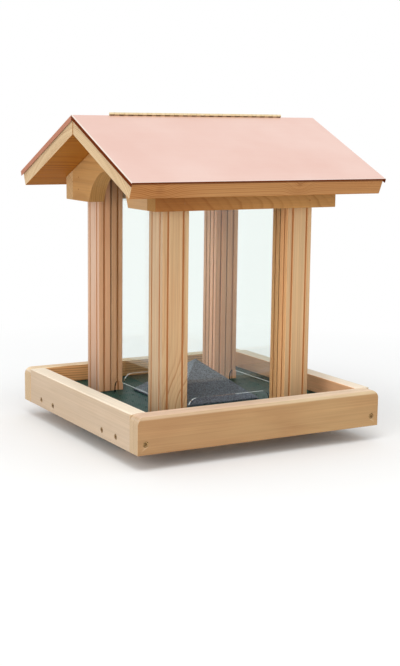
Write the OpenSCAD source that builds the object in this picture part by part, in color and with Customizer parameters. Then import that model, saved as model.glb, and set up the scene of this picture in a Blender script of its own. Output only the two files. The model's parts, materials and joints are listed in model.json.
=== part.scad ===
/* Hopper bird feeder on a garden post: a cedar tray with a screen floor, four grooved
   posts that hold clear panes, and a copper-clad gable roof that opens on a piano hinge.
   The origin is the middle of the mount board's underside, where a garden post's top meets it.
   X runs along the front, Y towards the back and Z up. All sizes are in millimetres. */

/* [Tray] */
// Width of the tray over its side rails
tray_w = 374; // [340:1:440]
// Depth of the tray over its front and back rails
tray_d = 374; // [340:1:440]
// Height of the tray rails
rail_h = 50; // [44:1:70]
// Thickness of the tray rails
rail_t = 23; // [18:0.5:28]
// Radius along the top outer edge of the tray
rail_round = 11; // [4:0.5:14]

/* [Floor] */
// Width of each slat under the floor
slat_w = 63; // [50:1:76]
// Thickness of the slats
slat_t = 22; // [16:0.5:24]
// Height of the slats above the lower edge of the rails
slat_rise = 2; // [0:0.5:4]
// Thickness of the floor screen
screen_t = 1.2; // [0.8:0.1:2]
// How far the screen's edges run into the groove in the rails
screen_edge = 3.5; // [2:0.5:5]
// Width of the square window in the screen, under the diverter
window_w = 108; // [90:1:116]
// Corner radius of that window
window_r = 6; // [2:0.5:12]
// Diameter of a drain hole in the screen
drain_d = 3; // [2:0.5:5]
// Distance between drain holes
drain_pitch = 20; // [16:1:32]

/* [Mount board] */
// Width of the board that seats on the garden post
mount_w = 140; // [110:1:150]
// Length of that board, from front to back
mount_len = 222; // [205:1:240]
// Thickness of that board
mount_t = 23; // [18:0.5:28]
// Diameter of the four holes for the post's screws
mount_hole_d = 5.5; // [4:0.5:8]
// Distance between those holes, both ways
mount_hole_pitch = 50; // [36:1:64]

/* [Posts] */
// Side of the square posts
post_w = 39; // [34:1:44]
// Distance over the outer faces of two posts
post_span = 232; // [222:1:250]
// Length of the posts, from the floor screen up
post_h = 317; // [260:1:360]
// Width of the decorative grooves
groove_w = 2.8; // [1.5:0.1:3.5]
// Depth of the decorative grooves
groove_d = 2.8; // [1.5:0.1:3.5]
// Distance from a post's edge to the middle of a groove
groove_in = 8.2; // [5:0.1:9.5]
// Bevel on the posts' long edges
post_bevel = 0.5; // [0.4:0.1:2]

/* [Panes] */
// Thickness of the clear panes
pane_t = 2.2; // [1.6:0.1:3]
// Play of a pane in its kerf, on each face
pane_play = 0.35; // [0.2:0.05:0.6]
// Depth of the kerf in the post for a pane
kerf_d = 8; // [5:0.5:10]
// Clearance between a pane's edge and the bottom of its kerf
pane_edge_gap = 0.7; // [0.3:0.1:1.5]
// Height of the panes
pane_h = 313; // [250:1:330]
// Height of the seed slot under each pane
slot_h = 19; // [12:0.5:30]
// Radius of the slot's upper corners
slot_r = 12; // [6:0.5:12]
// Width of a pane's foot that shows beside its post
foot_w = 12.5; // [8:0.5:20]

/* [Headers and gables] */
// Thickness of the headers over the front and back posts
header_t = 23; // [18:0.5:28]
// How far the headers reach down over the posts
header_lap = 41; // [30:1:60]
// Thickness of the gable boards
gable_t = 23; // [18:0.5:28]
// How far the gable boards reach down over the posts
gable_lap = 41; // [30:1:60]
// Half the width of the gable's arch at its foot
arch_half = 61; // [50:1:72]
// Height of the gable's arch
arch_rise = 46; // [34:1:60]

/* [Roof] */
// Length of the roof boards along the ridge
roof_len = 381; // [350:1:440]
// Length of each roof board from the ridge to the eave
slope_len = 194.5; // [180:0.5:230]
// Thickness of the roof boards
roof_t = 23; // [18:0.5:28]
// Slope of the roof
pitch = 24.3; // [20:0.1:30]
// Clearance between the posts' tops and the roof
post_clear = 1.2; // [0.5:0.1:4]
// Thickness of the copper sheets
copper_t = 0.8; // [0.5:0.1:1.2]
// Depth of the copper's lips over the gable ends
lip_h = 5.2; // [3:0.1:10]
// Depth of the copper's hem along the eave
eave_lip_h = 1; // [0.6:0.1:6]
// Outer radius of the copper's folds
fold_r = 1.6; // [1:0.1:1.8]
// Gap between a lip and the wood it covers
lip_gap = 1.5; // [0.3:0.1:2]
// Distance from the ridge seam to the copper's edge
ridge_gap = 0.6; // [0.3:0.1:1.5]

/* [Hinge] */
// Length of the piano hinge
hinge_len = 273; // [200:1:320]
// Number of knuckles on the two leaves together
knuckle_n = 39; // [21:2:45]
// Outer radius of the knuckles
knuckle_r = 2; // [1.9:0.05:2.4]
// Radius of the hinge pin
pin_r = 1.1; // [0.9:0.05:1.2]
// Width of each leaf below the knuckles
leaf_w = 16; // [12:0.5:18]
// Thickness of the leaves
leaf_t = 0.8; // [0.6:0.05:1]
// Gap between the two closed leaves
leaf_play = 0.3; // [0.2:0.05:0.5]
// Height of the pin above the point where the two slopes would meet
pin_rise = 2.2; // [2:0.05:3.4]
// Number of screws in each leaf
hinge_screw_n = 7; // [4:1:9]

/* [Seed diverter] */
// Width of the diverter at its base
diverter_w = 132; // [124:1:140]
// Height of the diverter from the screen to its tip
diverter_h = 53; // [40:1:60]
// Thickness of its sheet
diverter_t = 0.8; // [0.6:0.1:1.5]
// Height of the upright skirt round its base
skirt_h = 2; // [1:0.5:5]

/* [Fasteners] */
// Shank radius of the wood screws
screw_r = 1.9; // [1.5:0.1:2.2]
// Head radius of the wood screws
screw_head_r = 4.1; // [3:0.1:4.2]
// Depth of the screw heads below the wood's face
screw_sink = 0.6; // [0.3:0.1:2]
// Length of the screws through the tray rails
rail_screw_len = 50; // [40:1:60]
// Height of the corner screws above the lower edge of the rails
rail_screw_z = 14; // [10:1:20]
// Distance between the two screws in the end of a slat
slat_screw_pitch = 42; // [30:1:48]
// Height of the slat screws above the lower edge of the rails
slat_screw_z = 11; // [8:0.5:16]
// Length of the screws that go up through the slats into the posts
post_screw_len = 60; // [45:1:80]
// Length of the screws that hold the mount board to the slats
mount_screw_len = 38; // [32:1:42]
// Distance of those screws from the middle of the board, sideways
mount_screw_x = 50; // [30:1:52]
// Distance of the upper roof screws from the ridge, in plan
roof_screw_high = 35; // [25:1:50]
// Distance of the lower roof screws from the ridge, in plan
roof_screw_low = 92; // [70:1:105]
// Length of the screws through the back roof board
roof_screw_len = 45; // [35:1:60]
// Length of a wood screw's point
screw_point = 4; // [2:0.5:6]
// Width of the cross recess in a screw head
recess_w = 1; // [0.5:0.1:1.2]
// Depth of that recess
recess_d = 1.2; // [0.8:0.1:1.6]
// Span of that recess
recess_span = 4.6; // [3:0.1:5]
// Shank radius of the finishing nails
nail_r = 0.8; // [0.6:0.05:1]
// Head radius of the finishing nails
nail_head_r = 1.3; // [1:0.05:1.6]
// Length of the finishing nails
nail_len = 45; // [38:1:52]
// Thickness of a finishing nail's head
nail_head_t = 1; // [0.6:0.1:1.5]
// Height of the lower header nails above the header's lower edge
header_nail_low = 10; // [8:1:16]
// Distance of the upper header nails below the posts' tops
header_nail_high = 14; // [10:1:18]
// Height of the lower gable nails above the gable's lower edge
gable_nail_low = 16; // [12:1:18]
// Distance of the upper gable nails below the posts' tops
gable_nail_high = 8; // [6:1:10]
// Length of the hinge screws
hinge_screw_len = 12; // [8:0.5:14]
// Shank radius of the hinge screws
hinge_screw_r = 1.1; // [0.8:0.05:1.4]
// Head radius of the hinge screws
hinge_screw_head_r = 2.3; // [1.8:0.1:2.8]

/* [Hidden] */
$fn = 48;

// Running gap where the roof lid and the diverter rest on the fixed pieces
seat_gap = 0.3;
// Radial clearance of a screw, nail or pin in its bore
bore_play = 0.05;
// Hairline under the copper, so that the folded sheet clears the boards
sheet_clear = 0.05;
// Extra length of a cut that runs out through a face
over = 1;

cedar = "#d8ab78";
cedar_post = "#cf9f78";
screw_bronze = "#8a6a3c";
steel = "#9a9a98";
brass = "#d9b96a";
copper = "#eab7a0";

// Heights of the stack, from the garden post up
tray_z = mount_t - slat_rise;
slat_z = mount_t;
screen_z = slat_z + slat_t;
floor_z = screen_z + screen_t;
post_top = floor_z + post_h;
apex_z = post_top + post_clear + post_span / 2 * tan(pitch) + roof_t / cos(pitch);
pin_z = apex_z + pin_rise;

// Half sizes and middles in plan
in_x = tray_w / 2 - rail_t;
in_y = tray_d / 2 - rail_t;
post_out = post_span / 2;
post_mid = post_out - post_w / 2;
post_in = post_out - post_w;
slat_mid = post_mid + (slat_w - post_w) / 4;
header_len = post_span + 2 * gable_t;
seam_y = leaf_play / 2 + leaf_t;

// Height of a plane parallel to the roof's slope and depth below its top face, at distance y
function slope_z(y, depth) = apex_z - y * tan(pitch) - depth / cos(pitch);

// Placements of the fasteners: a point on the outer face and the turn that drives +Z inwards
rail_screw_at = [for (sx = [-1, 1], sy = [-1, 1])
    [[sx * (tray_w - rail_t) / 2, sy * tray_d / 2, tray_z + rail_screw_z], [sy * 90, 0, 0]]];
slat_screw_at = [for (sx = [-1, 1], sy = [-1, 1], k = [-1, 1])
    [[sx * tray_w / 2, sy * slat_mid + k * slat_screw_pitch / 2, tray_z + slat_screw_z],
     [0, -sx * 90, 0]]];
post_screw_at = [for (sx = [-1, 1], sy = [-1, 1])
    [[sx * post_mid, sy * post_mid, slat_z], [0, 0, 0]]];
mount_screw_y = (slat_mid - slat_w / 2 + mount_len / 2) / 2;
mount_screw_at = [for (sx = [-1, 1], sy = [-1, 1])
    [[sx * mount_screw_x, sy * mount_screw_y, 0], [0, 0, 0]]];
header_nail_z = [post_top - header_lap + header_nail_low, post_top - header_nail_high];
header_nail_at = [for (sx = [-1, 1], sy = [-1, 1], z = header_nail_z)
    [[sx * post_mid, sy * (post_out + header_t), z], [sy * 90, 0, 0]]];
gable_nail_z = [post_top - gable_lap + gable_nail_low, post_top - gable_nail_high];
gable_nail_at = [for (sx = [-1, 1], sy = [-1, 1], z = gable_nail_z)
    [[sx * (post_out + gable_t), sy * post_mid, z], [0, -sx * 90, 0]]];
roof_screw_y = [roof_screw_high, roof_screw_low];
roof_screw_at = [for (sx = [-1, 1], y = roof_screw_y)
    [[sx * (post_out + gable_t / 2), y, slope_z(y, 0)], [180 - pitch, 0, 0]]];
hinge_screw_z = pin_z - knuckle_r - leaf_w * 0.6;
hinge_screw_step = hinge_len / hinge_screw_n;
hinge_screw_x = [for (i = [0 : hinge_screw_n - 1]) (i + 0.5) * hinge_screw_step - hinge_len / 2];

// A box given by two opposite corners
module span(a, b) {
    translate(a) cube(b - a);
}

// Children at each placement of a list
module placed(list) {
    for (p = list) translate(p[0]) rotate(p[1]) children();
}

// A countersunk wood screw along +Z, its face screw_sink below the wood
module wood_screw(len) {
    head_h = screw_head_r - screw_r;
    translate([0, 0, screw_sink]) difference() {
        union() {
            cylinder(r1 = screw_head_r, r2 = screw_r, h = head_h);
            cylinder(r = screw_r, h = len - screw_point);
            translate([0, 0, len - screw_point])
                cylinder(r1 = screw_r, r2 = screw_r / 5, h = screw_point);
        }
        for (a = [0, 90]) rotate(a)
            translate([-recess_span / 2, -recess_w / 2, -over])
                cube([recess_span, recess_w, over + recess_d]);
    }
}

// The hole for that screw, with its sunk seat
module wood_screw_bore(len) {
    head_h = screw_head_r - screw_r;
    translate([0, 0, -over]) cylinder(r = screw_head_r + bore_play, h = over + screw_sink);
    translate([0, 0, screw_sink])
        cylinder(r1 = screw_head_r + bore_play, r2 = screw_r + bore_play, h = head_h);
    translate([0, 0, screw_sink]) cylinder(r = screw_r + bore_play, h = len + bore_play);
}

// A finishing nail along +Z, its head flush with the wood
module nail() {
    cylinder(r = nail_head_r, h = nail_head_t);
    cylinder(r = nail_r, h = nail_len);
}

module nail_bore() {
    translate([0, 0, -over])
        cylinder(r = nail_head_r + bore_play, h = over + nail_head_t + bore_play);
    cylinder(r = nail_r + bore_play, h = nail_len + bore_play);
}

// The tray's outer form: a block with its top outer edge rounded on all four sides
module round_topped(w) {
    translate([-w / 2, 0]) square([w, rail_h - rail_round]);
    translate([rail_round - w / 2, 0]) square([w - 2 * rail_round, rail_h]);
    for (s = [-1, 1]) translate([s * (w / 2 - rail_round), rail_h - rail_round]) circle(rail_round);
}

module tray_block() {
    translate([0, 0, tray_z]) intersection() {
        rotate([90, 0, 0]) linear_extrude(tray_d, center = true) round_topped(tray_w);
        rotate([90, 0, 90]) linear_extrude(tray_w, center = true) round_topped(tray_d);
    }
}

// The groove in the rails that takes the screen's edge
module screen_groove() {
    reach = screen_edge + seat_gap;
    span([-in_x - reach, -in_y - reach, screen_z],
         [in_x + reach, in_y + reach, floor_z + seat_gap]);
}

// The front rail runs the full width and covers the side rails' ends
module rail_across(side) {
    color(cedar) difference() {
        intersection() {
            tray_block();
            span([-tray_w / 2, side > 0 ? in_y : -tray_d / 2, tray_z],
                 [tray_w / 2, side > 0 ? tray_d / 2 : -in_y, tray_z + rail_h]);
        }
        screen_groove();
        placed(rail_screw_at) wood_screw_bore(rail_screw_len);
    }
}

module rail_along(side) {
    color(cedar) difference() {
        intersection() {
            tray_block();
            span([side > 0 ? in_x : -tray_w / 2, -in_y, tray_z],
                 [side > 0 ? tray_w / 2 : -in_x, in_y, tray_z + rail_h]);
        }
        screen_groove();
        placed(rail_screw_at) wood_screw_bore(rail_screw_len);
        placed(slat_screw_at) wood_screw_bore(rail_screw_len);
    }
}

module tray_rail_front() { rail_across(-1); }
module tray_rail_back() { rail_across(1); }
module tray_rail_left() { rail_along(-1); }
module tray_rail_right() { rail_along(1); }

// A slat under the floor, between the side rails and under two posts
module floor_slat(side) {
    color(cedar) difference() {
        translate([0, side * slat_mid, slat_z]) span([-in_x, -slat_w / 2, 0], [in_x, slat_w / 2, slat_t]);
        placed(slat_screw_at) wood_screw_bore(rail_screw_len);
        placed(post_screw_at) wood_screw_bore(post_screw_len);
        placed(mount_screw_at) wood_screw_bore(mount_screw_len);
    }
}

module floor_slat_front() { floor_slat(-1); }
module floor_slat_back() { floor_slat(1); }

// A square outline with round corners
module round_square(w, r) {
    square([w - 2 * r, w], center = true);
    square([w, w - 2 * r], center = true);
    for (x = [-1, 1], y = [-1, 1]) translate([x, y] * (w / 2 - r)) circle(r);
}

// True where a drain hole clears the window, the posts and the slats
function drains(x, y) = max(abs(x), abs(y)) > window_w / 2 + drain_d
    && max(abs(x), abs(y)) < min(in_x, in_y) - drain_d
    && (abs(y) < slat_mid - slat_w / 2 - drain_d || abs(y) > slat_mid + slat_w / 2 + drain_d);

module floor_screen() {
    rows = floor(min(in_x, in_y) / drain_pitch);
    color("#2c5b55") translate([0, 0, screen_z]) difference() {
        translate([0, 0, screen_t / 2])
            cube([2 * (in_x + screen_edge), 2 * (in_y + screen_edge), screen_t], center = true);
        translate([0, 0, -over]) linear_extrude(screen_t + 2 * over) round_square(window_w, window_r);
        for (i = [-rows : rows], j = [-rows : rows])
            if (drains(i * drain_pitch, j * drain_pitch))
                translate([i * drain_pitch, j * drain_pitch, -over])
                    cylinder(d = drain_d, h = screen_t + 2 * over, $fn = 16);
        placed([for (p = post_screw_at) [[p[0][0], p[0][1], -over], [0, 0, 0]]])
            cylinder(r = screw_r + bore_play, h = screen_t + 2 * over);
    }
}

// The board that seats on the garden post, screwed up into both slats
module post_mount_board() {
    color(cedar) difference() {
        span([-mount_w / 2, -mount_len / 2, 0], [mount_w / 2, mount_len / 2, mount_t]);
        placed(mount_screw_at) wood_screw_bore(mount_screw_len);
        for (x = [-1, 1], y = [-1, 1])
            translate([x * mount_hole_pitch / 2, y * mount_hole_pitch / 2, -over])
                cylinder(d = mount_hole_d, h = mount_t + 2 * over);
    }
}

// One flute or kerf cut, from the face at +post_w/2 along X inwards
module face_cut(width, depth) {
    translate([post_w / 2 - depth + width / 2, 0]) circle(d = width, $fn = 24);
    translate([post_w / 2 - depth + width / 2, -width / 2]) square([depth + over, width]);
}

// The post's section, with its pane faces towards +X and +Y
module post_section() {
    half = post_w / 2;
    difference() {
        polygon([for (q = [0 : 3], k = [0, 1])
            let (a = k == 0 ? half : half - post_bevel, b = k == 0 ? half - post_bevel : half)
            [a * cos(90 * q) - b * sin(90 * q), a * sin(90 * q) + b * cos(90 * q)]]);
        for (q = [0 : 3], s = [-1, 1])
            rotate(90 * q) translate([0, s * (half - groove_in)]) face_cut(groove_w, groove_d);
        for (q = [0, 1]) rotate(90 * q) face_cut(pane_t + 2 * pane_play, kerf_d);
    }
}

// A post turned so that its pane faces look at its two neighbours
module corner_post(sx, sy) {
    turn = sx < 0 ? (sy < 0 ? 0 : -90) : (sy < 0 ? 90 : 180);
    color(cedar_post) difference() {
        translate([sx * post_mid, sy * post_mid, floor_z]) rotate(turn)
            linear_extrude(post_h) post_section();
        placed(post_screw_at) wood_screw_bore(post_screw_len);
        placed(header_nail_at) nail_bore();
        placed(gable_nail_at) nail_bore();
    }
}

module post_front_left() { corner_post(-1, -1); }
module post_front_right() { corner_post(1, -1); }
module post_back_left() { corner_post(-1, 1); }
module post_back_right() { corner_post(1, 1); }

// A pane's outline, standing on two feet beside the seed slot
module pane_outline() {
    pane_w = 2 * (post_in + kerf_d - pane_edge_gap);
    slot_w = 2 * (post_in - foot_w);
    difference() {
        translate([-pane_w / 2, 0]) square([pane_w, pane_h]);
        translate([-slot_w / 2, -over]) square([slot_w, slot_h - slot_r + over]);
        translate([slot_r - slot_w / 2, -over]) square([slot_w - 2 * slot_r, slot_h + over]);
        for (s = [-1, 1]) translate([s * (slot_w / 2 - slot_r), slot_h - slot_r]) circle(slot_r);
    }
}

module pane(turn) {
    color([0.8, 0.88, 0.86, 0.35]) rotate(turn) translate([0, -post_mid, floor_z])
        rotate([90, 0, 0]) linear_extrude(pane_t, center = true) pane_outline();
}

module pane_front() { pane(0); }
module pane_back() { pane(180); }
module pane_left() { pane(-90); }
module pane_right() { pane(90); }

// A pyramid made by two crossed wedges, each w wide and h high
module crossed_wedges(w, h) {
    intersection_for (a = [0, 90]) rotate(a) rotate([90, 0, 0]) linear_extrude(w, center = true)
        polygon([[-w / 2, 0], [w / 2, 0], [0, h]]);
}

// The folded sheet pyramid that turns the seed out towards the four slots
module seed_diverter() {
    rise = diverter_h - skirt_h - seat_gap;
    lean = atan(2 * rise / diverter_w);
    inner_w = diverter_w - 2 * diverter_t;
    color("#5d6066") translate([0, 0, floor_z + seat_gap]) difference() {
        union() {
            translate([0, 0, skirt_h]) crossed_wedges(diverter_w, rise);
            translate([0, 0, skirt_h / 2]) cube([diverter_w, diverter_w, skirt_h], center = true);
        }
        translate([0, 0, skirt_h]) crossed_wedges(inner_w, inner_w / 2 * tan(lean));
        translate([0, 0, skirt_h / 2 - over / 2])
            cube([inner_w, inner_w, skirt_h + over], center = true);
    }
}

// A header nailed to the outer faces of two posts, its top cut to the roof's slope
module header(side, gap) {
    bottom = post_top - header_lap;
    out = post_out + header_t;
    color(cedar) difference() {
        mirror([0, side < 0 ? 1 : 0, 0]) rotate([90, 0, 90]) linear_extrude(header_len, center = true)
            polygon([[post_out, bottom], [out, bottom],
                     [out, slope_z(out, roof_t + gap)], [post_out, slope_z(post_out, roof_t + gap)]]);
        placed(header_nail_at) nail_bore();
    }
}

module header_front() { header(-1, seat_gap); }
module header_back() { header(1, 0); }

// A gable board between the headers, with an arch cut in its lower edge
module gable(side) {
    bottom = post_top - gable_lap;
    arch_r = (arch_half * arch_half + arch_rise * arch_rise) / (2 * arch_rise);
    color(cedar) difference() {
        translate([side * (post_out + gable_t / 2), 0, 0]) rotate([90, 0, 90])
            linear_extrude(gable_t, center = true) difference() {
                polygon([[-post_out, bottom], [post_out, bottom],
                         [post_out, slope_z(post_out, roof_t)], [0, slope_z(0, roof_t)],
                         [0, slope_z(0, roof_t + seat_gap)],
                         [-post_out, slope_z(post_out, roof_t + seat_gap)]]);
                translate([0, bottom + arch_rise - arch_r]) circle(arch_r, $fn = 96);
            }
        placed(gable_nail_at) nail_bore();
        placed(roof_screw_at) wood_screw_bore(roof_screw_len);
    }
}

module gable_left() { gable(-1); }
module gable_right() { gable(1); }

// The back half of the roof in section, cut plumb at the ridge
module roof_section() {
    eave_y = slope_len * cos(pitch);
    eave_z = apex_z - slope_len * sin(pitch);
    polygon([[seam_y, slope_z(seam_y, 0)], [eave_y, eave_z],
             [eave_y - roof_t * sin(pitch), eave_z - roof_t * cos(pitch)],
             [seam_y, slope_z(seam_y, roof_t)]]);
}

module roof_half() {
    rotate([90, 0, 90]) linear_extrude(roof_len, center = true) roof_section();
}

// The hinge screws, driven towards +Y from the closed leaves
module hinge_screw() {
    rotate([-90, 0, 0]) {
        cylinder(r1 = hinge_screw_head_r, r2 = hinge_screw_r, h = hinge_screw_head_r - hinge_screw_r);
        cylinder(r = hinge_screw_r, h = hinge_screw_len);
    }
}

module hinge_screw_bore() {
    head_r = hinge_screw_head_r + bore_play;
    head_h = hinge_screw_head_r - hinge_screw_r;
    rotate([-90, 0, 0]) {
        translate([0, 0, -over]) cylinder(r = head_r, h = over);
        cylinder(r1 = head_r, r2 = hinge_screw_r + bore_play, h = head_h);
        cylinder(r = hinge_screw_r + bore_play, h = hinge_screw_len + bore_play);
    }
}

module at_hinge_screws() {
    for (x = hinge_screw_x) translate([x, leaf_play / 2, hinge_screw_z]) children();
}

module roof_board_back() {
    color(cedar) difference() {
        roof_half();
        at_hinge_screws() hinge_screw_bore();
        placed(roof_screw_at) wood_screw_bore(roof_screw_len);
    }
}

module roof_board_front() {
    color(cedar) mirror([0, 1, 0]) difference() {
        roof_half();
        at_hinge_screws() hinge_screw_bore();
    }
}

// Outline from a to b with round upper corners
module rounded_top(a, b, low, high, r) {
    translate([a, low]) square([b - a, high - r - low]);
    translate([a + r, low]) square([b - a - 2 * r, high - low]);
    for (x = [a + r, b - r]) translate([x, high - r]) circle(r);
}

// The space under a copper sheet's outer face, with its round folds, set in by t
module sheet_block(t, extra) {
    half = roof_len / 2 + lip_gap + copper_t - t;
    stop = slope_len + lip_gap + copper_t - t;
    start = seam_y / cos(pitch) + ridge_gap - extra;
    low = -lip_h - extra;
    r = fold_r - t;
    intersection() {
        translate([0, stop, 0]) rotate([90, 0, 0]) linear_extrude(stop - start)
            rounded_top(-half, half, low, copper_t - t, r);
        translate([-half, 0, 0]) rotate([90, 0, 90]) linear_extrude(2 * half)
            rounded_top(start - 2 * r, stop, low, copper_t - t, r);
    }
}

// A copper sheet in the plane z = 0, with lips over both gable ends and a hem along the eave
module folded_sheet() {
    inside = roof_len / 2 + lip_gap;
    eave = slope_len + lip_gap;
    difference() {
        sheet_block(0, 0);
        sheet_block(copper_t, over);
        span([-inside, eave - over, -lip_h - over], [inside, eave + copper_t + over, -eave_lip_h]);
    }
}

// That sheet on the back slope, its lips cut plumb at the ridge
module copper_half() {
    color(copper) difference() {
        translate([0, 0, apex_z + sheet_clear]) rotate([-pitch, 0, 0]) folded_sheet();
        span([-roof_len, -lip_h, apex_z - 2 * lip_h], [roof_len, seam_y, apex_z + lip_h]);
    }
}

module roof_copper_back() { copper_half(); }
module roof_copper_front() { mirror([0, 1, 0]) copper_half(); }

// One leaf of the piano hinge on the +Y side, with every second knuckle starting at first
module hinge_leaf(first) {
    pitch_x = hinge_len / knuckle_n;
    top = pin_z - knuckle_r - seat_gap;
    color(brass) difference() {
        union() {
            span([-hinge_len / 2, leaf_play / 2, pin_z - knuckle_r - leaf_w], [hinge_len / 2, seam_y, top]);
            for (i = [first : 2 : knuckle_n - 1]) translate([i * pitch_x - hinge_len / 2, 0, 0]) {
                span([seat_gap / 2, leaf_play / 2, top - over],
                     [pitch_x - seat_gap / 2, seam_y, pin_z - (knuckle_r + pin_r) / 2]);
                translate([seat_gap / 2, 0, pin_z]) rotate([0, 90, 0]) difference() {
                    cylinder(r = knuckle_r, h = pitch_x - seat_gap);
                    translate([0, 0, -over]) cylinder(r = pin_r + bore_play, h = pitch_x + 2 * over);
                }
            }
        }
        at_hinge_screws() hinge_screw_bore();
    }
}

module hinge_leaf_fixed() { hinge_leaf(0); }
module hinge_leaf_moving() { mirror([0, 1, 0]) hinge_leaf(1); }

module hinge_pin() {
    color(brass) translate([0, 0, pin_z]) rotate([0, 90, 0])
        cylinder(r = pin_r, h = hinge_len, center = true);
}

module hinge_screws_fixed() { color(brass) at_hinge_screws() hinge_screw(); }
module hinge_screws_moving() { color(brass) mirror([0, 1, 0]) at_hinge_screws() hinge_screw(); }

module rail_screws() { color(screw_bronze) placed(rail_screw_at) wood_screw(rail_screw_len); }
module slat_screws() { color(screw_bronze) placed(slat_screw_at) wood_screw(rail_screw_len); }
module post_screws() { color(screw_bronze) placed(post_screw_at) wood_screw(post_screw_len); }
module mount_board_screws() { color(screw_bronze) placed(mount_screw_at) wood_screw(mount_screw_len); }
module header_nails() { color(steel) placed(header_nail_at) nail(); }
module gable_nails() { color(steel) placed(gable_nail_at) nail(); }
module roof_screws() { color(screw_bronze) placed(roof_screw_at) wood_screw(roof_screw_len); }

tray_rail_front();
tray_rail_back();
tray_rail_left();
tray_rail_right();
floor_slat_front();
floor_slat_back();
floor_screen();
post_mount_board();
post_front_left();
post_front_right();
post_back_left();
post_back_right();
pane_front();
pane_back();
pane_left();
pane_right();
seed_diverter();
header_front();
header_back();
gable_left();
gable_right();
roof_board_front();
roof_board_back();
roof_copper_front();
roof_copper_back();
hinge_leaf_fixed();
hinge_leaf_moving();
hinge_pin();
hinge_screws_fixed();
hinge_screws_moving();
rail_screws();
slat_screws();
post_screws();
mount_board_screws();
header_nails();
gable_nails();
roof_screws();
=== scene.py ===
"""The hopper bird feeder's looks: cedar boards and grooved posts, clear panes, a green screen
floor, a grey seed diverter and a copper roof with a brass piano hinge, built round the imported
model. Everything is in metres. X runs along the front, Y towards the back and Z up."""

import json
import math
from collections import namedtuple

import bmesh
import bpy
from mathutils import Matrix, Vector


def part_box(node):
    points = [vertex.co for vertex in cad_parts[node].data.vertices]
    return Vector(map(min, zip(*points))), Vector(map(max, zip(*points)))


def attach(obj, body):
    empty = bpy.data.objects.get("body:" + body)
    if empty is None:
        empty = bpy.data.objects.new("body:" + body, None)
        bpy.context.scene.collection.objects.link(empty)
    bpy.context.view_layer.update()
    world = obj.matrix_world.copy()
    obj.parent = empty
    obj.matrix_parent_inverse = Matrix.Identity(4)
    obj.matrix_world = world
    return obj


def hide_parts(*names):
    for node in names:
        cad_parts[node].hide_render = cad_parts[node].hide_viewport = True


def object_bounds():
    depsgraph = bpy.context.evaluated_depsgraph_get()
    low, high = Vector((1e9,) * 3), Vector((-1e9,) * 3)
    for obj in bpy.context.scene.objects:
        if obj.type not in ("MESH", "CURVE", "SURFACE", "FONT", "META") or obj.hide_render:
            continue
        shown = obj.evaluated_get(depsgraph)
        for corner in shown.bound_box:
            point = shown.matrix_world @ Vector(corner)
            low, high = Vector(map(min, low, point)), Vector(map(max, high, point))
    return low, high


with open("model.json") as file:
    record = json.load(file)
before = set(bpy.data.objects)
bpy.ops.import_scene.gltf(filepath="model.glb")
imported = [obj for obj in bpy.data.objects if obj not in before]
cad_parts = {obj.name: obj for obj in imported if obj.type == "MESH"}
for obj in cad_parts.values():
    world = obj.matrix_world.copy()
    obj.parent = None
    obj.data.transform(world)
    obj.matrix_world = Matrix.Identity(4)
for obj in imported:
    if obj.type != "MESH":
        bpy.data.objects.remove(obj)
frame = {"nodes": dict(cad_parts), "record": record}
cad_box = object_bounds()

MM = 0.001
X, Y, Z = 0, 1, 2

# Which body carries each node and which material slot it has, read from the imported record
BODY_OF = {n: b for b, nodes in frame["record"]["behaviour"]["bodies"].items() for n in nodes}
SLOT_OF = {s["node"]: s["material_slot"] for s in frame["record"]["subparts"]}

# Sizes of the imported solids
CAD_RAIL_ROUND = 11 * MM
ROOF_PITCH = math.radians(24.3)

# Photographed sizes that the solids lack: the tray's rounded top edges, how much further down
# the back copper's lips reach, and the eased edges
LONG_RAIL_ROUND = 5.5 * MM
SIDE_RAIL_ROUND = 2 * MM
LIP_DROP = 1.8 * MM
BOARD_EASE = 0.8 * MM
POST_EASE = 0.4 * MM

# What lies this far inside a surface is taken as off it
OFF_ROUND = 0.05 * MM
OFF_POST_SIDE = 0.9 * MM
OFF_ROOF_TOP = 3 * MM

# The meshes' tolerances
WELD = 0.002 * MM
SPECK = 0.001 * MM
FLAT_ANGLE = math.radians(0.5)
SHARP_ANGLE = math.radians(35)

# Places of a board's materials. The first, 0, is its faces'.
EASED_EDGE, GROOVE = 1, 2

# Nearly all of a noise texture's values lie between these
NOISE_LOW, NOISE_HIGH = 0.3, 0.7


def srgb(r, g, b):
    """A linear colour from 0 to 255 display values, by the sRGB standard."""
    def linear(c):
        c = c / 255
        return c / 12.92 if c <= 0.04045 else ((c + 0.055) / 1.055) ** 2.4
    return (linear(r), linear(g), linear(b), 1.0)


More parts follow.
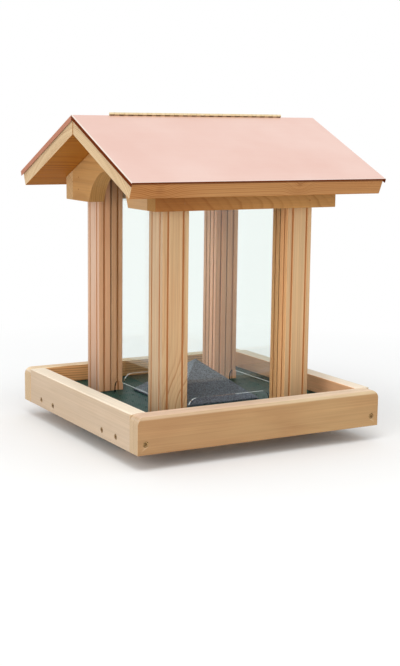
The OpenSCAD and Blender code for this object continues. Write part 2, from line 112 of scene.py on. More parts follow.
class Graph:
    """A material and short ways to add nodes to it."""

    # Places of the colour sockets on a Mix node
    MIX_FACTOR, MIX_A, MIX_B, MIX_RESULT = 0, 6, 7, 2

    def __init__(self, name):
        self.material = bpy.data.materials.new(name)
        self.material.use_nodes = True
        self.tree = self.material.node_tree
        self.shader = self.tree.nodes["Principled BSDF"]
        self.output = self.tree.nodes["Material Output"]
        coords = self.tree.nodes.new("ShaderNodeTexCoord")
        self.object = coords.outputs["Object"]
        self.normal = coords.outputs["Normal"]

    def put(self, socket, value):
        if isinstance(value, bpy.types.NodeSocket):
            self.tree.links.new(value, socket)
        elif value is not None:
            socket.default_value = value

    def add(self, kind, inputs=None, **props):
        node = self.tree.nodes.new(kind)
        for key, value in props.items():
            setattr(node, key, value)
        for key, value in (inputs or {}).items():
            self.put(node.inputs[key], value)
        return node

    def math(self, op, a, b=None, c=None, clamp=False):
        node = self.add("ShaderNodeMath", operation=op, use_clamp=clamp)
        for socket, value in zip(node.inputs, (a, b, c)):
            self.put(socket, value)
        return node.outputs[0]

    def plus(self, a, b):
        return self.math("ADD", a, b)

    def minus(self, a, b):
        return self.math("SUBTRACT", a, b)

    def times(self, a, b):
        return self.math("MULTIPLY", a, b)

    def larger(self, a, b):
        return self.math("MAXIMUM", a, b)

    def unsigned(self, a):
        return self.math("ABSOLUTE", a)

    def spread(self, value, low, high, to_low=0.0, to_high=1.0):
        """to_low where value is low or less, to_high where it is high or more."""
        inputs = dict(enumerate((value, low, high, to_low, to_high)))
        return self.add("ShaderNodeMapRange", inputs).outputs[0]

    def between(self, factor, at_none, at_full):
        """at_none where factor is 0 and at_full where it is 1."""
        return self.spread(factor, 0.0, 1.0, at_none, at_full)

    def varied(self, noise, to_low=0.0, to_high=1.0):
        """A noise whose usual values are spread from to_low to to_high."""
        return self.spread(noise, NOISE_LOW, NOISE_HIGH, to_low, to_high)

    def mix(self, factor, a, b, blend="MIX"):
        inputs = {self.MIX_FACTOR: factor, self.MIX_A: a, self.MIX_B: b}
        node = self.add("ShaderNodeMix", inputs, data_type="RGBA", blend_type=blend)
        return node.outputs[self.MIX_RESULT]

    def tinted(self, factor, colour, tint):
        """A colour that is multiplied by tint where factor is 1."""
        return self.mix(factor, colour, self.mix(1.0, colour, (*tint, 1.0), "MULTIPLY"))

    def noise(self, vector, scale=1.0, detail=2.0, roughness=0.5):
        inputs = {"Vector": vector, "Scale": scale, "Detail": detail, "Roughness": roughness}
        return self.add("ShaderNodeTexNoise", inputs).outputs[0]

    def grained(self, place, along, across, offset=0.0, detail=2.0, roughness=0.5):
        """Noise drawn out along the grain. place is a point's three parts, the grain's first,
        and along and across are the scales with the grain and over it."""
        vector = self.scaled(place, (along, across, across), offset)
        return self.noise(vector, detail=detail, roughness=roughness)

    def split(self, vector):
        return self.add("ShaderNodeSeparateXYZ", {0: vector}).outputs

    def join(self, x, y, z):
        return self.add("ShaderNodeCombineXYZ", {0: x, 1: y, 2: z}).outputs[0]

    def scaled(self, parts, factors, offset=0.0):
        """A vector of parts, each times its factor, all moved by offset."""
        return self.join(*(self.math("MULTIPLY_ADD", part, factor, offset)
                           for part, factor in zip(parts, factors)))

    def distance(self, a, b):
        node = self.add("ShaderNodeVectorMath", {0: a, 1: b}, operation="DISTANCE")
        return node.outputs["Value"]

    def ramp(self, value, stops):
        """A grey level that runs through stops, each a place and its level."""
        node = self.add("ShaderNodeValToRGB", {0: value})
        elements = node.color_ramp.elements
        while len(elements) < len(stops):
            elements.new(0.5)
        for element, (place, level) in zip(elements, stops):
            element.position = place
            element.color = (level, level, level, 1.0)
        return node.outputs[0]

    def bump(self, height, distance, strength=1.0, normal=None):
        inputs = {"Height": height, "Distance": distance, "Strength": strength, "Normal": normal}
        return self.add("ShaderNodeBump", inputs).outputs[0]

    def set(self, **inputs):
        """Sets the shader's inputs, named in small letters with _ for a space."""
        for key, value in inputs.items():
            words = key.replace("_", " ")
            socket = next(s for s in self.shader.inputs if s.name.lower() == words)
            self.put(socket, value)
        return self.material


# Painted light and shade for the faces that look along an axis: a tint that sets in as the
# normal's part along that axis, times sign, goes from low to high
Facing = namedtuple("Facing", "axis sign tint low high", defaults=(0.2, 0.8))
# A tint that is full at one place along the grain and gone at another
Grade = namedtuple("Grade", "full none tint")
# Where a knot is, how wide, how far it pushes the rings aside and how dark its core is
Knot = namedtuple("Knot", "centre size push dark")
# A plane on which by_y times y plus by_z times z is level
Plane = namedtuple("Plane", "by_y by_z level")

# Bare wood reflects little
WOOD_SPECULAR = 0.12
CEDAR = dict(early=srgb(226, 187, 142), late=srgb(176, 122, 78), rose=srgb(216, 164, 128),
             pale_end=srgb(232, 208, 172))
KNOT_CORE = srgb(120, 72, 40)
# The copper's shade painted on the wood just below it, and how far below it reaches
PAINTED_COPPER_SHADE = srgb(92, 48, 20)
PAINTED_SHADE_DEPTH = 4.4 * MM
# How squarely a face looks along the grain: from the first value it turns into a sawn end
SAWN_END = (0.72, 0.92)
# The dark late wood by a ring's phase: it comes on slowly and ends at once
LATE_WOOD = ((0.0, 0.0), (0.5, 0.14), (0.84, 1.0), (1.0, 0.0))


def painted_shade_under(g, colour, roof_top):
    """Painted shade: the dark line that the copper's overhang shades on the wood just below the
    plane roof_top, painted into the wood's colour. The gable ends, paler, have none."""
    parts, normals = g.split(g.object), g.split(g.normal)
    height = g.plus(g.times(parts[Y], roof_top.by_y), g.times(parts[Z], roof_top.by_z))
    depth = g.minus(roof_top.level, height)
    painted_shade = g.times(g.spread(depth, PAINTED_SHADE_DEPTH * 0.6, PAINTED_SHADE_DEPTH, 0.8, 0.0),
                    g.spread(g.unsigned(normals[X]), 0.5, 0.8, 1.0, 0.0))
    return g.mix(painted_shade, colour, PAINTED_COPPER_SHADE)


def pith_distance(g, place, pith, tilt, sway, seed):
    """The distance of a point from the pith line. place is its parts, the grain's first."""
    squares = []
    other_noise = 7.3
    for part, centre, lean, shift in zip(place[1:], pith, tilt, (0.0, other_noise)):
        straight = g.math("MULTIPLY_ADD", place[0], -lean, g.minus(part, centre))
        wander = g.grained(place, 2.6, 5.0, seed + shift)
        offset = g.plus(straight, g.math("MULTIPLY_ADD", wander, 2 * sway, -sway))
        squares.append(g.times(offset, offset))
    return g.math("SQRT", g.plus(*squares))


def add_knots(g, radius, knots):
    """The ring radius pushed aside by knots, the darkness of their cores, and a figure that is
    1 at their middles and fades round them."""
    cores, figure = 0.0, 0.0
    for knot in knots:
        away = g.distance(g.object, knot.centre)
        squared = g.math("POWER", g.math("DIVIDE", away, knot.size), 2.0)
        near = g.math("EXPONENT", g.times(squared, -1.0))
        radius = g.math("MULTIPLY_ADD", near, knot.push, radius)
        core = g.spread(away, knot.size * 0.16, knot.size * 0.42, knot.dark, 0.0)
        cores = g.larger(cores, core)
        figure = g.larger(figure, near)
    return radius, cores, figure


def growth_lines(g, rings, figure):
    """1 in the darkest late wood. rings counts the rings, and some years have stronger lines,
    as have the places where figure is 1."""
    line = g.ramp(g.math("FRACT", rings), LATE_WOOD)
    year = g.add("ShaderNodeTexWhiteNoise", {"W": g.math("FLOOR", rings)}, noise_dimensions="1D")
    line = g.times(line, g.between(year.outputs[0], 0.2, 1.0))
    return g.times(line, g.math("MULTIPLY_ADD", figure, 1.2, 1.0))


def cedar(name, grain, pith, early, late, rose, pale_end, tilt=(0.0, 0.0), sway=7 * MM,
          spacing=2.6 * MM, seed=0.0, contrast=0.75, band=0.05, streaks=0.08, end_lines=0.5,
          knots=(), faces=(), grade=None, under=None):
    """Sawn cedar: growth rings round a pith line along the grain axis, fine fibres, and paler
    sawn ends.
    pith is where that line crosses the other two axes, tilt how it leans and sway how far it
    wanders. spacing is the rings' width. The colours are those of early and late wood, of rosy
    blotches and of the ends. contrast and end_lines are the strength of the lines on faces and
    ends, and band and streaks that of broad and of fine bands of tone. faces holds tints by
    facing, which are painted light and shade, grade is a Grade, and neither tints the ends.
    under is the plane below which the copper's shade is painted on the wood."""
    g = Graph(name)
    parts, normals = g.split(g.object), g.split(g.normal)
    place = [parts[grain]] + [parts[axis] for axis in (X, Y, Z) if axis != grain]

    radius = pith_distance(g, place, pith, tilt, sway, seed)
    radius, cores, figure = add_knots(g, radius, knots)
    wobble = g.grained(place, 11.0, 70.0, seed)
    rings = g.plus(g.math("DIVIDE", radius, spacing), g.times(wobble, 0.9))
    line = growth_lines(g, rings, figure)
    broad = g.noise(g.join(g.times(rings, 0.16), seed, 0.0))
    fibre = g.grained(place, 9.0, 1500.0, seed, detail=3.0, roughness=0.65)
    streak = g.grained(place, 5.0, 420.0, seed + 3.1, detail=4.0, roughness=0.65)
    blotch = g.grained(place, 5.0, 16.0, seed + 1.7, detail=3.0, roughness=0.55)
    pores = g.noise(g.object, scale=1700.0, detail=2.0, roughness=0.6)

    end = g.spread(g.unsigned(normals[grain]), *SAWN_END)
    body = g.mix(end, g.mix(g.spread(blotch, 0.35, 0.68), early, rose), pale_end)
    lines = g.math("MULTIPLY", line, g.between(end, contrast, end_lines), clamp=True)
    tone = g.mix(lines, body, late)
    shade = g.times(g.spread(streak, 0.3, 0.72, 1 - streaks, 1 + streaks),
                    g.spread(fibre, 0.28, 0.72, 0.93, 1.05))
    shade = g.times(shade, g.varied(broad, 1 - band, 1 + band))
    shade = g.between(end, shade, g.spread(pores, 0.35, 0.7, 0.82, 1.09))
    colour = g.mix(1.0, tone, g.join(shade, shade, shade), "MULTIPLY")
    if knots:
        colour = g.mix(cores, colour, KNOT_CORE)
    off_end = g.between(end, 1.0, 0.0)
    # Painted light and shade: faces made lighter or darker by the way they look, but not the
    # ends
    for face in faces:
        look = g.spread(g.times(normals[face.axis], face.sign), face.low, face.high)
        colour = g.tinted(g.times(look, off_end), colour, face.tint)
    if grade is not None:
        fade = g.spread(place[0], grade.full, grade.none, 1.0, 0.0)
        colour = g.tinted(g.times(fade, off_end), colour, grade.tint)
    # Painted shade on the wood just under the copper
    if under is not None:
        colour = painted_shade_under(g, colour, under)

    relief = g.plus(g.times(line, -0.4), g.times(fibre, 0.7))
    relief = g.plus(relief, g.times(streak, 0.5))
    return g.set(base_color=colour, roughness=g.varied(streak, 0.6, 0.76),
                 specular_ior_level=WOOD_SPECULAR, normal=g.bump(relief, 0.12 * MM, 0.7))


def highlit_edge_wood(name, tone, under=None):
    """The eased edges of a board, painted paler than its faces as a highlight, and, where under
    is given, with the copper's painted shade below that plane.
    """
    g = Graph(name)
    fibre = g.noise(g.object, scale=260.0, detail=3.0, roughness=0.6)
    dark = tuple(c * 0.84 for c in tone[:3]) + (1.0,)
    colour = g.mix(g.varied(fibre), dark, tone)
    if under is not None:
        colour = painted_shade_under(g, colour, under)
    return g.set(base_color=colour, roughness=0.68, specular_ior_level=WOOD_SPECULAR)


def groove_wood():
    """The shaded wood inside the posts' grooves, with its grain along Z."""
    g = Graph("cedar_groove")
    fibre = g.noise(g.scaled(g.split(g.object), (900.0, 900.0, 8.0)), detail=2.0, roughness=0.6)
    colour = g.mix(g.varied(fibre), srgb(182, 124, 74), srgb(206, 150, 100))
    return g.set(base_color=colour, roughness=0.75, specular_ior_level=WOOD_SPECULAR)


def filler():
    """Wood putty over the sunk heads of the finishing nails."""
    g = Graph("nail_filler")
    grain = g.noise(g.object, scale=900.0, detail=3.0, roughness=0.6)
    colour = g.mix(g.varied(grain), srgb(146, 98, 54), srgb(162, 112, 66))
    return g.set(base_color=colour, roughness=0.8, specular_ior_level=WOOD_SPECULAR)


def copper_sheet(name, painted_lip_colour):
    """New rolled copper with a faint roller grain along X, a painted highlight on the folds, and
    lips painted in the given colour as shade and reflection, not metallic. The gable lips face
    along X and the eave's hem faces along Y."""
    g = Graph(name)
    rolled = g.grained(g.split(g.object), 6.0, 420.0, detail=3.0, roughness=0.6)
    cloud = g.noise(g.object, scale=9.0, detail=3.0, roughness=0.5)
    dent = g.noise(g.object, scale=5.0, detail=1.0, roughness=0.4)
    colour = g.mix(g.spread(cloud, 0.35, 0.65), srgb(247, 213, 201), srgb(243, 205, 192))

    normals = g.split(g.normal)
    across = g.unsigned(normals[X])
    # Painted highlight along the folds
    fold_highlight = g.larger(g.spread(across, 0.1, 0.25), g.spread(g.unsigned(normals[Y]), 0.5, 0.65))
    colour = g.mix(fold_highlight, colour, srgb(255, 240, 228))
    # Painted shade and reflection on the gable lips and the eave's hem, which are not metallic
    hem = g.times(g.spread(normals[Z], 0.35, 0.6, 1.0, 0.0),
                  g.spread(across, 0.1, 0.3, 1.0, 0.0))
    lips = g.larger(g.spread(across, 0.93, 0.98), hem)
    colour = g.mix(lips, colour, painted_lip_colour)
    return g.set(base_color=colour, metallic=g.minus(1.0, lips),
                 roughness=g.plus(g.varied(cloud, 0.30, 0.38), g.varied(rolled, -0.03, 0.04)),
                 normal=g.bump(rolled, 0.02 * MM, 0.5, g.bump(dent, 1.2 * MM, 0.5)),
                 specular_ior_level=0.0)


def brass(name, shade_below):
    """Bright brass, painted dark below a height as the shade under the hinge's knuckles."""
    g = Graph(name)
    cloud = g.noise(g.object, scale=160.0, detail=3.0, roughness=0.6)
    bright = g.mix(g.varied(cloud), srgb(250, 232, 194), srgb(236, 212, 164))
    blur = 0.3 * MM
    # Painted shade below the height shade_below
    low = g.spread(g.split(g.object)[Z], shade_below - blur, shade_below + blur, 1.0, 0.0)
    return g.set(base_color=g.mix(low, bright, srgb(140, 108, 74)), metallic=1.0,
                 roughness=g.varied(cloud, 0.28, 0.4))


def bronze_screw():
    """Bronze-coated steel, browner in patches."""
    g = Graph("bronze_screw")
    cloud = g.noise(g.object, scale=700.0, detail=3.0, roughness=0.6)
    colour = g.mix(g.varied(cloud), srgb(206, 166, 112), srgb(70, 56, 42))
    mean_rough, mean_noise = 0.42, 0.5
    return g.set(base_color=colour, metallic=1.0,
                 roughness=g.plus(cloud, mean_rough - mean_noise))


def clear_pane():
    """Clear acrylic with a little haze."""
    g = Graph("clear_pane")
    haze = g.noise(g.object, scale=26.0, detail=3.0, roughness=0.6)
    return g.set(base_color=srgb(248, 252, 250), roughness=g.spread(haze, 0.35, 0.7, 0.0, 0.03),
                 ior=1.49, transmission_weight=1.0, specular_ior_level=0.5)


def green_screen():
    """Green powder coat over a sheet with staggered rows of fine holes, painted dark as the
    shade seen through them.
    """
    g = Graph("green_screen")
    x, y, _ = g.split(g.object)
    pitch, row_ratio = 3.2 * MM, 1.732
    nearest_hole = None
    for stagger in (0.0, 0.5):
        from_x, from_y = [
            g.minus(g.math("FRACT", g.plus(g.math("DIVIDE", part, step), stagger)), 0.5)
            for part, step in ((x, pitch), (y, pitch * row_ratio))]
        from_y = g.times(from_y, row_ratio)
        away = g.math("SQRT", g.plus(g.times(from_x, from_x), g.times(from_y, from_y)))
        nearest_hole = away if nearest_hole is None else g.math("MINIMUM", nearest_hole, away)
    solid = g.spread(nearest_hole, 0.2, 0.27)
    cloud = g.noise(g.object, scale=30.0, detail=3.0, roughness=0.6)
    grit = g.noise(g.object, scale=1400.0, detail=2.0, roughness=0.5)
    coat = g.mix(g.varied(cloud), srgb(4, 62, 54), srgb(16, 80, 70))
    # The holes are painted near black, as the shade seen through them
    return g.set(base_color=g.mix(solid, srgb(8, 24, 20), coat),
                 roughness=g.varied(cloud, 0.42, 0.56), specular_ior_level=0.3,
                 normal=g.bump(grit, 0.05 * MM, 0.5, g.bump(solid, 0.4 * MM, 0.6)))


def grey_sheet():
    """Mottled grey sheet metal with a satin sheen."""
    g = Graph("grey_sheet")
    cloud = g.noise(g.object, scale=420.0, detail=3.0, roughness=0.7)
    wide = g.noise(g.object, scale=40.0, detail=3.0, roughness=0.6)
    grit = g.noise(g.object, scale=900.0, detail=2.0, roughness=0.5)
    colour = g.mix(g.varied(cloud), srgb(70, 78, 88), srgb(134, 142, 154))
    return g.set(base_color=colour, metallic=0.6, roughness=g.varied(wide, 0.32, 0.46),
                 normal=g.bump(grit, 0.05 * MM, 0.6))


# The roof's top planes, in front of the ridge and behind it
roof_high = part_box("roof_board_front")[1]
ridge = roof_high[Z] * math.cos(ROOF_PITCH) - roof_high[Y] * math.sin(ROOF_PITCH)
FRONT_ROOF_TOP, BACK_ROOF_TOP = [
    Plane(side * math.sin(ROOF_PITCH), math.cos(ROOF_PITCH), ridge) for side in (-1, 1)]


def rail_edge(axis, radius):
    """The round of a tray rail's outer top edge, across axis, brought to the photographed
    radius. The round of the rail's two ends stays."""
    tray_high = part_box("tray_rail_back")[1]
    out, top = tray_high[axis], tray_high[Z]

    def shape(bm):
        for vert in bm.verts:
            outer = abs(vert.co[axis]) > out - CAD_RAIL_ROUND - OFF_ROUND
            if outer and vert.co.z > top - CAD_RAIL_ROUND:
                rise = min(max(vert.co.z - (top - radius), 0), radius)
                reach = out - radius + math.sqrt(radius ** 2 - rise ** 2)
                vert.co[axis] = math.copysign(reach, vert.co[axis])
    return shape


def deeper_lips(bm):
    """Carries the back copper's two gable lips further down the roof board."""
    by_y, by_z, level = BACK_ROOF_TOP
    for vert in bm.verts:
        if level - vert.co.y * by_y - vert.co.z * by_z > OFF_ROOF_TOP:
            vert.co.z -= LIP_DROP


def stand_in(node, bm):
    """An object of the mesh bm that stands for a node."""
    mesh = bpy.data.meshes.new(node + "_eased")
    bm.to_mesh(mesh)
    bm.free()
    mesh.set_sharp_from_angle(angle=SHARP_ANGLE)
    piece = bpy.data.objects.new(node + "_piece", mesh)
    bpy.context.scene.collection.objects.link(piece)
    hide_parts(node)
    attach(piece, BODY_OF[node])
    return piece


def eased(node, radius, segments=2, longer_than=6 * MM, shape=None):
    """A copy of a node that stands for it, with its long sharp edges eased. shape changes the
    copy first."""
    bm = bmesh.new()
    bm.from_mesh(frame["nodes"][node].data)
    bmesh.ops.remove_doubles(bm, verts=bm.verts, dist=WELD)
    if shape is not None:
        shape(bm)
    bmesh.ops.dissolve_limit(bm, angle_limit=FLAT_ANGLE, verts=bm.verts, edges=bm.edges)
    sharp = [e for e in bm.edges if e.is_manifold and e.is_convex
             and e.calc_length() > longer_than and e.calc_face_angle() > SHARP_ANGLE]
    made = bmesh.ops.bevel(bm, geom=sharp, offset=radius, segments=segments, affect="EDGES",
                           profile=0.5, clamp_overlap=False)
    for face in made["faces"]:
        face.material_index = EASED_EDGE
    # The bevel may overshoot by a hair
    low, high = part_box(node)
    for vert in bm.verts:
        vert.co = [min(max(c, a), b) for c, a, b in zip(vert.co, low, high)]
    bmesh.ops.dissolve_degenerate(bm, edges=bm.edges, dist=SPECK)
    bmesh.ops.triangulate(bm, faces=[f for f in bm.faces if len(f.verts) > 4])
    piece = stand_in(node, bm)
    flat = piece.modifiers.new("flat_faces", "WEIGHTED_NORMAL")
    flat.weight, flat.keep_sharp = 100, True
    return piece


def mark_grooves(piece, node):
    """Gives the faces that lie deeper than the post's four sides the groove's material."""
    low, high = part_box(node)
    for face in piece.data.polygons:
        depth = min(face.center[a] - low[a] for a in (X, Y))
        depth = min(depth, *(high[a] - face.center[a] for a in (X, Y)))
        if depth > OFF_POST_SIDE and abs(face.normal.z) < 0.5:
            face.material_index = GROOVE


def dress(obj, *materials):
    obj.data.materials.clear()
    for material in materials:
        obj.data.materials.append(material)


# The looks of the wood, as arguments of cedar. The pith lies off a board, so that its rings run
# as in sawn stock.
TRAY_FRONT = dict(early=srgb(179, 146, 103), late=srgb(140, 102, 64), rose=srgb(166, 128, 88),
                  pale_end=srgb(198, 172, 140))
TRAY_BACK = dict(early=srgb(194, 152, 106), late=srgb(140, 90, 50), rose=srgb(184, 136, 92),
                 pale_end=srgb(206, 180, 146))
TRAY_SIDE = dict(early=srgb(198, 176, 152), late=srgb(174, 146, 117), rose=srgb(190, 166, 139),
                 pale_end=srgb(204, 178, 144))
ROOF = dict(early=srgb(182, 133, 83), late=srgb(146, 92, 48), rose=srgb(176, 122, 74),
            pale_end=srgb(216, 188, 148), end_lines=1.0)
GABLE = dict(early=srgb(194, 148, 92), late=srgb(148, 100, 54), rose=srgb(184, 136, 82),
             pale_end=srgb(188, 140, 82), end_lines=1.0)
FRONT_HEADER = dict(GABLE, pale_end=srgb(166, 122, 66))
BACK_HEADER = dict(GABLE, pale_end=srgb(206, 168, 120))
WARM_POST = dict(early=srgb(200, 167, 126), late=srgb(168, 120, 79), rose=srgb(196, 157, 116),
                 pale_end=CEDAR["pale_end"], streaks=0.14, sway=2 * MM)
PINK_POST = dict(early=srgb(214, 174, 140), late=srgb(170, 118, 86), rose=srgb(206, 158, 122),
                 pale_end=CEDAR["pale_end"], streaks=0.14, sway=2 * MM)
# Painted light and shade by facing: lighter rounded edges and tops of the tray's rails, lighter
# left faces of the posts, and darker, warmer undersides of the roof boards
PAINTED_LIGHT_EDGE = Facing(Z, 1, (1.4, 1.76, 2.35), 0.03, 0.3)
PAINTED_LIGHT_TOP = Facing(Z, 1, (1.29, 1.33, 1.56), 0.7, 1.0)
PAINTED_BRIGHT_EDGE = Facing(Z, 1, (1.75, 2.6, 4.0), 0.05, 0.4)
PAINTED_BRIGHT_TOP = Facing(Z, 1, (1.64, 1.9, 2.15), 0.3, 0.8)
PAINTED_LIGHT_LEFT = Facing(X, -1, (0.98, 1.07, 1.24))
PAINTED_SHADE_UNDERSIDE = Facing(Z, -1, (0.84, 0.64, 0.2), 0.5, 0.8)

# In faces, the tints are painted light and shade: lighter inner faces of the back and right
# rails, a darker, warmer inner face of the left rail, and shaded undersides of the roof boards
BOARDS = {
    "tray_rail_front": dict(
        TRAY_FRONT, grain=X, pith=(-0.30, 0.05), spacing=3.4 * MM, seed=1.0, contrast=0.5,
        # Painted light on the front rail's round edge and top
        band=0.16, faces=(PAINTED_LIGHT_EDGE, PAINTED_LIGHT_TOP), grade=Grade(-0.16, 0.16, (0.88, 0.81, 0.81))),
    "tray_rail_back": dict(
        TRAY_BACK, grain=X, pith=(0.30, -0.06), spacing=2.4 * MM, seed=2.0, contrast=1.0,
        # Painted light on the back rail's top edge and on its inner face
        faces=(PAINTED_BRIGHT_EDGE, Facing(Y, -1, (1.7, 1.75, 1.7)))),
    "tray_rail_left": dict(
        TRAY_SIDE, grain=Y, pith=(-0.34, 0.05), spacing=3.6 * MM, sway=2 * MM, seed=3.0,
        # Painted light on the left rail's top and painted shade on its inner face
        contrast=0.12, faces=(PAINTED_BRIGHT_TOP, Facing(X, 1, (1.0, 0.84, 0.7)))),
    "tray_rail_right": dict(
        TRAY_SIDE, grain=Y, pith=(0.38, 0.05), spacing=3.0 * MM, sway=3 * MM, seed=4.0,
        # Painted light on the right rail's top and on its inner face
        contrast=0.5, faces=(PAINTED_BRIGHT_TOP, Facing(X, -1, (1.7, 1.28, 1.0)))),
    "floor_slat_front": dict(
        CEDAR, grain=X, pith=(-0.1, -0.14), spacing=3.0 * MM, seed=5.0, contrast=0.6),
    "floor_slat_back": dict(
        CEDAR, grain=X, pith=(0.12, -0.12), spacing=2.8 * MM, seed=6.0, contrast=0.6),
    "post_mount_board": dict(
        CEDAR, grain=Y, pith=(0.02, -0.13), spacing=3.0 * MM, seed=7.0, contrast=0.6),
    "header_front": dict(
        FRONT_HEADER, grain=X, pith=(0.05, 0.31), tilt=(0.12, 0.0), spacing=1.8 * MM,
        # Painted shade: the front face darker, and its left end darker still, as in the eave's
        # shadow
        sway=3 * MM, seed=8.0, contrast=0.6, faces=(Facing(Y, -1, (0.86, 0.8, 0.72)),),
        grade=Grade(-0.1, 0.02, (0.78, 0.62, 0.5))),
    "header_back": dict(
        BACK_HEADER, grain=X, pith=(0.2, 0.25), spacing=3.4 * MM, seed=9.0, contrast=0.5),
    "gable_left": dict(
        GABLE, grain=Y, pith=(-0.42, 0.30), spacing=3.2 * MM, seed=10.0, contrast=0.5,
        grade=Grade(-0.1, 0.0, (0.98, 1.12, 1.58))),
    "gable_right": dict(
        GABLE, grain=Y, pith=(0.42, 0.28), spacing=3.0 * MM, seed=11.0, contrast=0.5),
    "roof_board_front": dict(
        ROOF, grain=X, pith=(0.066, 0.129), spacing=2.4 * MM, seed=12.0, contrast=1.0,
        knots=(Knot((0.056, -0.178, 0.354), 15 * MM, 13 * MM, 0.45),
               Knot((-0.15, -0.178, 0.349), 24 * MM, 8 * MM, 0.35)),
        # Painted shade on the underside, and the copper's shade painted just under the roof top
        faces=(PAINTED_SHADE_UNDERSIDE,), grade=Grade(-0.17, -0.08, (0.95, 0.9, 0.82)), under=FRONT_ROOF_TOP),
    "roof_board_back": dict(
        ROOF, grain=X, pith=(-0.066, 0.129), spacing=1.7 * MM, seed=13.0, contrast=1.0,
        # Painted shade on the underside, and the copper's shade painted just under the roof top
        streaks=0.14, faces=(PAINTED_SHADE_UNDERSIDE,), under=BACK_ROOF_TOP),
}
# In faces, the posts' tints are painted light: paler left faces, brighter left faces of the
# right posts, and brighter, warmer fronts of the back posts
POSTS = {
    "post_front_left": dict(
        WARM_POST, pith=(-0.16, -0.30), spacing=3.2 * MM, seed=21.0, contrast=0.7,
        knots=(Knot((-0.074, -0.116, 0.056), 46 * MM, 17 * MM, 0.0),), faces=(PAINTED_LIGHT_LEFT,)),
    "post_front_right": dict(
        WARM_POST, pith=(0.30, -0.25), spacing=3.0 * MM, seed=22.0, contrast=0.4,
        faces=(Facing(X, -1, (1.5, 1.25, 1.05)),)),
    "post_back_left": dict(
        PINK_POST, pith=(-0.32, 0.25), spacing=2.8 * MM, seed=23.0, contrast=0.5,
        faces=(Facing(Y, -1, (1.12, 1.03, 0.94)), PAINTED_LIGHT_LEFT)),
    "post_back_right": dict(
        PINK_POST, pith=(0.35, 0.30), spacing=2.6 * MM, seed=24.0, contrast=0.6,
        faces=(Facing(Y, -1, (1.14, 1.0, 0.88)), Facing(X, -1, (1.5, 1.4, 1.4)))),
}
RAIL_SHAPES = {
    "tray_rail_front": rail_edge(Y, LONG_RAIL_ROUND),
    "tray_rail_back": rail_edge(Y, LONG_RAIL_ROUND),
    "tray_rail_left": rail_edge(X, SIDE_RAIL_ROUND),
    "tray_rail_right": rail_edge(X, SIDE_RAIL_ROUND),
}


def dress_wood():
    # The eased edges are painted paler, as a highlight
    board_edge_highlight = highlit_edge_wood("cedar_edge_highlight", srgb(220, 180, 136))
    tray_edge_highlight = highlit_edge_wood("cedar_tray_edge_highlight", srgb(232, 210, 180))
    for node, look in BOARDS.items():
        in_tray = node in RAIL_SHAPES
        edge = tray_edge_highlight if in_tray else board_edge_highlight
        if "under" in look:
            edge = highlit_edge_wood("edge_" + node, srgb(206, 162, 116), look["under"])
        # The tray's round ends are of short edges
        shortest = (1 if in_tray else 6) * MM
        piece = eased(node, BOARD_EASE, longer_than=shortest, shape=RAIL_SHAPES.get(node))
        dress(piece, cedar("cedar_" + node, **look), edge)

    groove = groove_wood()
    for node, look in POSTS.items():
        post = eased(node, POST_EASE, segments=1)
        dress(post, cedar("cedar_" + node, grain=Z, **look), board_edge_highlight, groove)
        mark_grooves(post, node)


def dress_back_copper():
    bm = bmesh.new()
    bm.from_mesh(frame["nodes"]["roof_copper_back"].data)
    deeper_lips(bm)
    # The back lips' copper brown is a painted reflection
    dress(stand_in("roof_copper_back", bm), copper_sheet("copper_back", srgb(176, 122, 100)))


def dress_the_rest():
    pin_low, pin_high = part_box("hinge_pin")
    pin_height = (pin_low[Z] + pin_high[Z]) / 2
    under_all = -1.0
    by_node = {
        # The front lips' dark brown is painted shade and reflection
        "roof_copper_front": copper_sheet("copper_front", srgb(100, 46, 22)),
        # Painted shade under the knuckles, below these heights
        "hinge_leaf_fixed": brass("brass_fixed", pin_height - 0.9 * MM),
        "hinge_leaf_moving": brass("brass_moving", pin_height - 1.6 * MM),
    }
    by_slot = {
        "hinge_brass": brass("brass", under_all),
        "clear_pane": clear_pane(),
        "bronze_screw": bronze_screw(),
        "steel_nail": filler(),
        "green_screen": green_screen(),
        "grey_sheet": grey_sheet(),
    }
    for node, obj in frame["nodes"].items():
        slot = SLOT_OF[node]
        if node in by_node:
            dress(obj, by_node[node])
        elif slot in by_slot:
            dress(obj, by_slot[slot])
        if slot == "clear_pane":
            # Lets the lamps reach what stands behind a clear sheet
            obj.visible_shadow = False


def camera():
    """The photograph's viewpoint: found by fitting the measured object to the picture."""
    place = Vector((-899.95, -1591.86, 441.98)) * MM
    yaw, tilt, roll = math.radians(29.68), math.radians(-9.49), math.radians(0.70)
    focal_px, long_side_px = 1294.7, 666
    sensor_mm, farthest = 36, 50

    ahead = Vector((math.sin(yaw) * math.cos(tilt), math.cos(yaw) * math.cos(tilt),
                    math.sin(tilt)))
    right = Vector((math.cos(yaw), -math.sin(yaw), 0))
    up = right.cross(ahead)
    side = right * math.cos(roll) + up * math.sin(roll)
    top = up * math.cos(roll) - right * math.sin(roll)
    data = bpy.data.cameras.new("camera")
    data.sensor_width = sensor_mm
    data.lens = focal_px * sensor_mm / long_side_px
    data.clip_end = farthest
    obj = bpy.data.objects.new("camera", data)
    turn = Matrix((side, top, -ahead)).transposed().to_4x4()
    obj.matrix_world = Matrix.Translation(place) @ turn
    bpy.context.scene.collection.objects.link(obj)
    bpy.context.scene.camera = obj


def lamp(name, place, aim, size, power):
    """A round soft lamp, with its size in metres and its power in watts."""
    data = bpy.data.lights.new(name, "AREA")
    data.shape, data.size, data.energy = "DISK", size, power
    obj = bpy.data.objects.new(name, data)
    obj.location = place
    obj.rotation_mode = "QUATERNION"
    obj.rotation_quaternion = (Vector(aim) - Vector(place)).to_track_quat("-Z", "Y")
    obj.visible_glossy = False
    bpy.context.scene.collection.objects.link(obj)


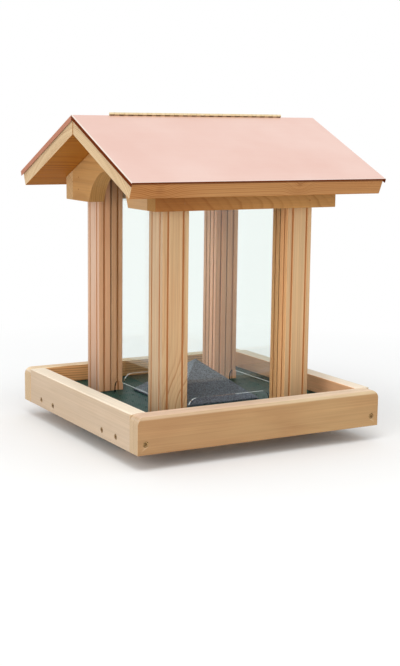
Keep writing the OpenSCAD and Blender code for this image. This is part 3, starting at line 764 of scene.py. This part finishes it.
def seen_directly(tree):
    """1 on camera, glossy and transmission rays and 0 on the rays that light the scene."""
    path = tree.nodes.new("ShaderNodeLightPath")
    seen = path.outputs["Is Camera Ray"]
    for name in ("Is Glossy Ray", "Is Transmission Ray"):
        either = tree.nodes.new("ShaderNodeMath")
        either.operation = "MAXIMUM"
        tree.links.new(seen, either.inputs[0])
        tree.links.new(path.outputs[name], either.inputs[1])
        seen = either.outputs[0]
    return seen


def pale_floor():
    """A pale floor that turns to the backdrop's white some way from the object."""
    g = Graph("pale_floor")
    g.set(base_color=(0.84, 0.84, 0.83, 1), roughness=0.8)
    pale_to, white_from = 0.35, 0.95
    away = g.add("ShaderNodeVectorMath", {0: g.object}, operation="LENGTH").outputs["Value"]
    far = g.spread(away, pale_to, white_from)
    white = g.add("ShaderNodeEmission", {"Color": (1, 1, 1, 1), "Strength": 1.0}).outputs[0]
    blend = g.add("ShaderNodeMixShader", {0: g.times(far, seen_directly(g.tree)),
                                          1: g.shader.outputs[0], 2: white})
    g.put(g.output.inputs[0], blend.outputs[0])
    return g.material


def soft_sky(tree):
    """Soft light that is strongest from above."""
    rise_from, rise_to = -0.1, 1.0
    low_strength, high_strength = 0.66, 1.05
    coords = tree.nodes.new("ShaderNodeTexCoord")
    split = tree.nodes.new("ShaderNodeSeparateXYZ")
    level = tree.nodes.new("ShaderNodeMapRange")
    for place, value in enumerate((rise_from, rise_to, low_strength, high_strength), 1):
        level.inputs[place].default_value = value
    soft = tree.nodes["Background"]
    soft.inputs[0].default_value = (0.97, 0.985, 1.0, 1.0)
    tree.links.new(coords.outputs["Generated"], split.inputs[0])
    tree.links.new(split.outputs[Z], level.inputs[0])
    tree.links.new(level.outputs[0], soft.inputs[1])
    return soft


def backdrop():
    """A world that shows white and lights the scene with the soft sky."""
    world = bpy.data.worlds.new("studio")
    bpy.context.scene.world = world
    world.use_nodes = True
    tree = world.node_tree
    white = tree.nodes.new("ShaderNodeBackground")
    white.inputs[0].default_value = (1, 1, 1, 1)
    white.inputs[1].default_value = 1.0
    blend = tree.nodes.new("ShaderNodeMixShader")
    tree.links.new(seen_directly(tree), blend.inputs[0])
    tree.links.new(soft_sky(tree).outputs[0], blend.inputs[1])
    tree.links.new(white.outputs[0], blend.inputs[2])
    tree.links.new(blend.outputs[0], tree.nodes["World Output"].inputs[0])


def studio():
    backdrop()
    mesh = bpy.data.meshes.new("floor")
    half = 6.0
    corners = [(-half, -half, 0), (half, -half, 0), (half, half, 0), (-half, half, 0)]
    mesh.from_pydata(corners, [], [(0, 1, 2, 3)])
    floor = bpy.data.objects.new("floor", mesh)
    floor.location.z = cad_box[0].z - 0.2 * MM
    dress(floor, pale_floor())
    bpy.context.scene.collection.objects.link(floor)

    centre = (0, 0, 0.22)
    lamp("key", (-2.2, -1.1, 0.8), centre, size=1.4, power=15)
    lamp("front", (-0.5, -2.6, 0.7), centre, size=1.8, power=10)
    lamp("top", (-0.7, -0.9, 2.5), centre, size=1.6, power=22)
    bpy.context.scene.view_settings.view_transform = "Standard"


dress_wood()
dress_back_copper()
dress_the_rest()
camera()
studio()
